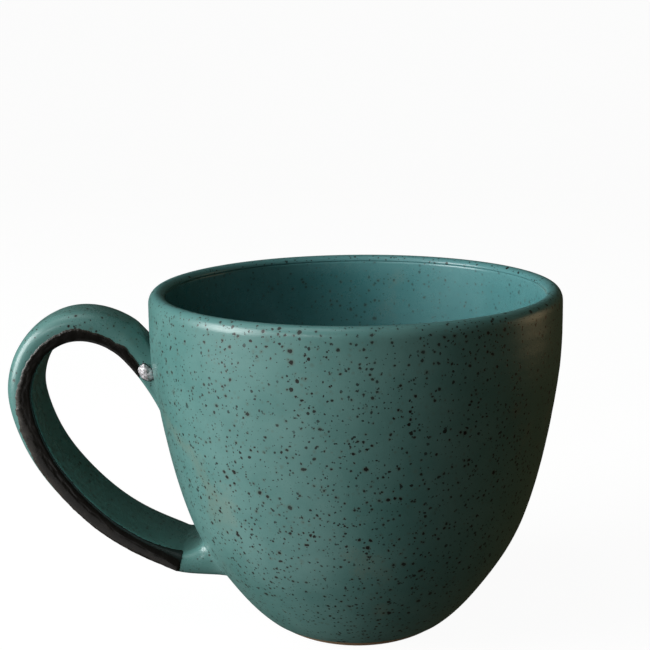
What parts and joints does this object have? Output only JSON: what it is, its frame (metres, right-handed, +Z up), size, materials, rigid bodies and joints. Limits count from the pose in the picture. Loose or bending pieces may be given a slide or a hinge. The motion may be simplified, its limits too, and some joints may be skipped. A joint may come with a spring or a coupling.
{
  "type": "mug",
  "caption": "Hand-thrown stoneware mug with a rounded bowl-like cup, a small bare foot and a pulled strap handle on one side.",
  "frame": {"origin": "on the cup's axis, in the plane of the foot's flat face", "axes": "+Z up along the cup's axis, out of the mouth; the handle stands towards -X, in the XZ plane; the dark coat is on the handle's -Y edge"},
  "size_m": [0.1354, 0.1006, 0.0865],
  "materials": {
    "bare_clay": "unglazed fired stoneware, dry and slightly gritty, warm brown",
    "outside_glaze": "satin blue-green glaze with fine iron specks, breaking to tan on edges",
    "inside_glaze": "glossy satin blue-green glaze with softer specks",
    "dark_glaze": "near-black brown satin glaze with a ragged upper edge",
    "pooled_glaze": "thick wrinkled drop of dark glaze with a silvery metallic gloss"
  },
  "bodies": {
    "root": {"cup_body": "bare_clay", "handle_strap": "bare_clay", "upper_joint": "bare_clay", "lower_joint": "bare_clay", "outside_glaze": "outside_glaze", "inside_glaze": "inside_glaze", "handle_glaze": "outside_glaze", "dark_glaze_band": "dark_glaze", "glaze_pool": "pooled_glaze"}
  },
  "joints": []
}
